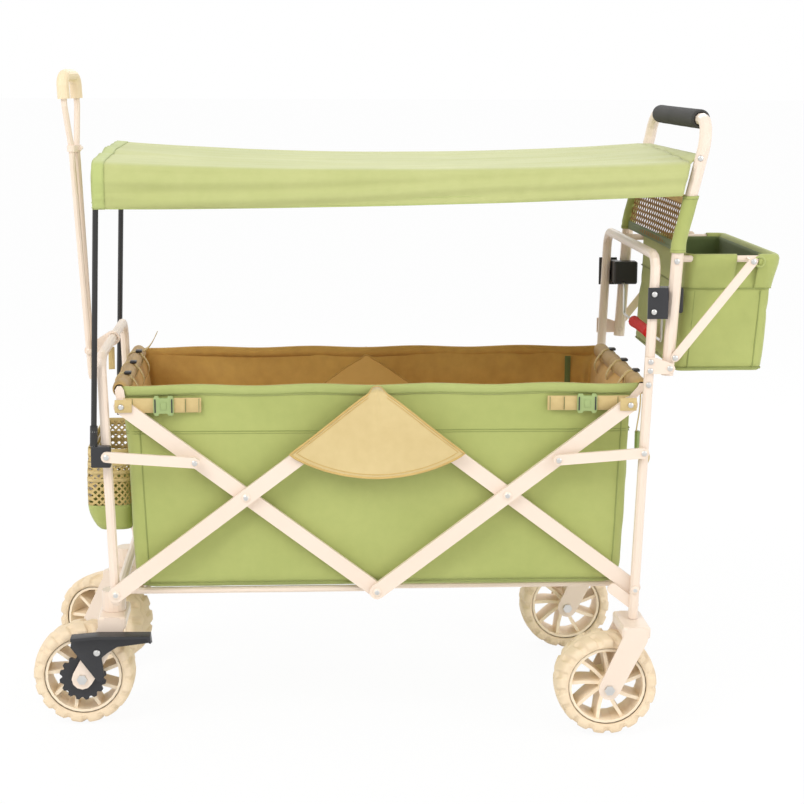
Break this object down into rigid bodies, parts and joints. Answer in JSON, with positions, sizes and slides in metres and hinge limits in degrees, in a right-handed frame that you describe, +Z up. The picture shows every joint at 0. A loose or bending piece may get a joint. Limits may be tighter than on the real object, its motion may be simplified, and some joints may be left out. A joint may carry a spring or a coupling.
{
  "type": "folding camping cart with canopy",
  "caption": "Folding camping cart in cream tube and green cloth, with a canopy, a push handle with a rear basket, a pull handle and fat tan wheels.",
  "frame": {"origin": "middle of the bounding box on the ground", "axes": "+X towards the push handle and basket, +Y to the far side, +Z up"},
  "size_m": [1.298, 0.6156, 1.1411],
  "materials": {
    "cream_paint": "satin powder coat",
    "tan_rubber": "moulded tan rubber",
    "tan_plastic": "moulded",
    "green_cloth": "coated woven cloth",
    "pale_green_cloth": "thin coated cloth",
    "tan_net": "open net",
    "black_plastic": "moulded",
    "black_foam": "closed foam",
    "red_plastic": "moulded",
    "zinc_steel": "zinc plated"
  },
  "bodies": {
    "front_frame": {"front_frame_tube": "cream_paint", "pole_socket_near": "black_plastic", "pole_socket_far": "black_plastic", "pull_handle_bracket": "cream_paint", "canopy_bow": "black_plastic", "canopy_cover": "pale_green_cloth"},
    "scissor_b": {"link_b_near": "cream_paint", "link_b_far": "cream_paint"},
    "scissor_c": {"link_c_near": "cream_paint", "link_c_far": "cream_paint"},
    "scissor_a": {"link_a_near": "cream_paint", "link_a_far": "cream_paint", "rim_roll_front": "green_cloth"},
    "scissor_d": {"link_d_near": "cream_paint", "link_d_far": "cream_paint", "rim_roll_rear": "green_cloth"},
    "rear_frame": {"rear_frame_tube": "cream_paint", "hinge_plate_near": "cream_paint", "hinge_plate_far": "cream_paint", "lock_bracket_near": "black_plastic", "lock_bracket_far": "black_plastic", "rear_fork_near": "cream_paint", "rear_fork_far": "cream_paint", "rear_axle_near": "zinc_steel", "rear_axle_far": "zinc_steel"},
    "short_front": {"short_link_front_near": "cream_paint", "short_link_front_far": "cream_paint"},
    "short_rear": {"short_link_rear_near": "cream_paint", "short_link_rear_far": "cream_paint"},
    "rail_front": {"floor_rail_front": "cream_paint"},
    "rail_rear": {"floor_rail_rear": "cream_paint"},
    "tub": {"tub_liner": "green_cloth", "front_pocket": "green_cloth"},
    "push_handle": {"push_handle_tube": "cream_paint", "foam_grip": "black_foam", "net_panel": "tan_net"},
    "lever": {"release_lever": "zinc_steel", "lever_grip": "red_plastic"},
    "basket": {"basket_bag": "green_cloth", "basket_bar": "cream_paint"},
    "brace": {"basket_brace_near": "cream_paint", "basket_brace_far": "cream_paint"},
    "pull_handle": {"pull_handle_tubes": "cream_paint", "pull_grip": "tan_plastic"},
    "caster_near": {"caster_fork_near": "cream_paint", "front_axle_near": "zinc_steel"},
    "front_wheel_near": {"front_rim_near": "tan_plastic", "front_tyre_near": "tan_rubber", "ratchet_disc_near": "black_plastic"},
    "pedal_near": {"brake_pedal_near": "black_plastic"},
    "rear_wheel_near": {"rear_rim_near": "tan_plastic", "rear_tyre_near": "tan_rubber"},
    "caster_far": {"caster_fork_far": "cream_paint", "front_axle_far": "zinc_steel"},
    "front_wheel_far": {"front_rim_far": "tan_plastic", "front_tyre_far": "tan_rubber", "ratchet_disc_far": "black_plastic"},
    "pedal_far": {"brake_pedal_far": "black_plastic"},
    "rear_wheel_far": {"rear_rim_far": "tan_plastic", "rear_tyre_far": "tan_rubber"}
  },
  "joints": [
    {"name": "fold", "type": "hinge", "parent": "front_frame", "child": "scissor_b", "pos_m": [-0.49423, 0, 0.253], "axis": [0, -1, 0], "range_deg": [0, 39], "deforming": ["tub_liner", "front_pocket", "canopy_cover"]},
    {"name": "scissor_top", "type": "hinge", "parent": "scissor_b", "child": "scissor_c", "pos_m": [-0.0454, 0, 0.59122], "axis": [0, -1, 0], "range_deg": [-79, 0]},
    {"name": "scissor_front_cross", "type": "hinge", "parent": "scissor_b", "child": "scissor_a", "pos_m": [-0.26982, 0, 0.42211], "axis": [0, -1, 0], "range_deg": [-79, 0]},
    {"name": "scissor_rear_cross", "type": "hinge", "parent": "scissor_c", "child": "scissor_d", "pos_m": [0.17902, 0, 0.42211], "axis": [0, -1, 0], "range_deg": [0, 79]},
    {"name": "rear_foot", "type": "hinge", "parent": "scissor_c", "child": "rear_frame", "pos_m": [0.40343, 0, 0.253], "axis": [0, -1, 0], "range_deg": [0, 40]},
    {"name": "short_front_swing", "type": "hinge", "parent": "front_frame", "child": "short_front", "pos_m": [-0.50352, 0, 0.4975], "axis": [0, -1, 0], "range_deg": [0, 71]},
    {"name": "short_rear_swing", "type": "hinge", "parent": "rear_frame", "child": "short_rear", "pos_m": [0.41152, 0, 0.4975], "axis": [0, -1, 0], "range_deg": [-71, 0]},
    {"name": "rail_front_swing", "type": "hinge", "parent": "front_frame", "child": "rail_front", "pos_m": [-0.4734, 0, 0.2505], "axis": [0, -1, 0], "range_deg": [0, 72]},
    {"name": "rail_rear_swing", "type": "hinge", "parent": "rear_frame", "child": "rail_rear", "pos_m": [0.3826, 0, 0.2505], "axis": [0, -1, 0], "range_deg": [-72, 0]},
    {"name": "tub_rise", "type": "slide", "parent": "front_frame", "child": "tub", "axis": [0, 0, 1], "range_m": [0, 0.203]},
    {"name": "push_fold", "type": "hinge", "parent": "rear_frame", "child": "push_handle", "pos_m": [0.4526, 0, 0.644], "axis": [0, 1, 0], "range_deg": [0, 90]},
    {"name": "lever_pull", "type": "hinge", "parent": "rear_frame", "child": "lever", "pos_m": [0.4506, 0, 0.737], "axis": [0, 1, 0], "range_deg": [0, 25]},
    {"name": "basket_fold", "type": "hinge", "parent": "push_handle", "child": "basket", "pos_m": [0.46291, 0, 0.826], "axis": [0, -1, 0], "range_deg": [0, 50], "deforming": ["basket_bag"]},
    {"name": "brace_swing", "type": "hinge", "parent": "basket", "child": "brace", "pos_m": [0.5907, 0, 0.826], "axis": [0, -1, 0], "range_deg": [-21, 0]},
    {"name": "pull_fold", "type": "hinge", "parent": "front_frame", "child": "pull_handle", "pos_m": [-0.5534, 0, 0.6416], "axis": [0, -1, 0], "range_deg": [0, 90]},
    {"name": "caster_near_swivel", "type": "hinge", "parent": "front_frame", "child": "caster_near", "pos_m": [-0.5064, -0.15, 0.2], "axis": [0, 0, 1], "continuous": true},
    {"name": "front_wheel_near_spin", "type": "hinge", "parent": "caster_near", "child": "front_wheel_near", "pos_m": [-0.5599, -0.15, 0.089], "axis": [0, 1, 0], "continuous": true},
    {"name": "brake_near", "type": "hinge", "parent": "caster_near", "child": "pedal_near", "pos_m": [-0.5354, -0.15, 0.132], "axis": [0, 1, 0], "range_deg": [0, 8]},
    {"name": "rear_wheel_near_spin", "type": "hinge", "parent": "rear_frame", "child": "rear_wheel_near", "pos_m": [0.35422, -0.25, 0.089], "axis": [0, 1, 0], "continuous": true},
    {"name": "caster_far_swivel", "type": "hinge", "parent": "front_frame", "child": "caster_far", "pos_m": [-0.5064, 0.15, 0.2], "axis": [0, 0, 1], "continuous": true},
    {"name": "front_wheel_far_spin", "type": "hinge", "parent": "caster_far", "child": "front_wheel_far", "pos_m": [-0.55273, 0.17675, 0.089], "axis": [0.5, 0.866, 0], "continuous": true},
    {"name": "brake_far", "type": "hinge", "parent": "caster_far", "child": "pedal_far", "pos_m": [-0.53151, 0.1645, 0.132], "axis": [0.5, 0.866, 0], "range_deg": [0, 8]},
    {"name": "rear_wheel_far_spin", "type": "hinge", "parent": "rear_frame", "child": "rear_wheel_far", "pos_m": [0.35422, 0.25, 0.089], "axis": [0, 1, 0], "continuous": true}
  ],
  "couplings": [
    {"joint": "scissor_top", "follows": "fold", "ratio": -2},
    {"joint": "scissor_front_cross", "follows": "fold", "ratio": -2},
    {"joint": "scissor_rear_cross", "follows": "fold", "ratio": 2},
    {"joint": "rear_foot", "follows": "fold", "ratio": 1},
    {"joint": "short_front_swing", "follows": "fold", "ratio": 1.79},
    {"joint": "short_rear_swing", "follows": "fold", "ratio": -1.79},
    {"joint": "rail_front_swing", "follows": "fold", "ratio": 1.83},
    {"joint": "rail_rear_swing", "follows": "fold", "ratio": -1.83},
    {"joint": "tub_rise", "follows": "fold", "m_per_rad": 0.294},
    {"joint": "brace_swing", "follows": "basket_fold", "ratio": -0.415}
  ]
}
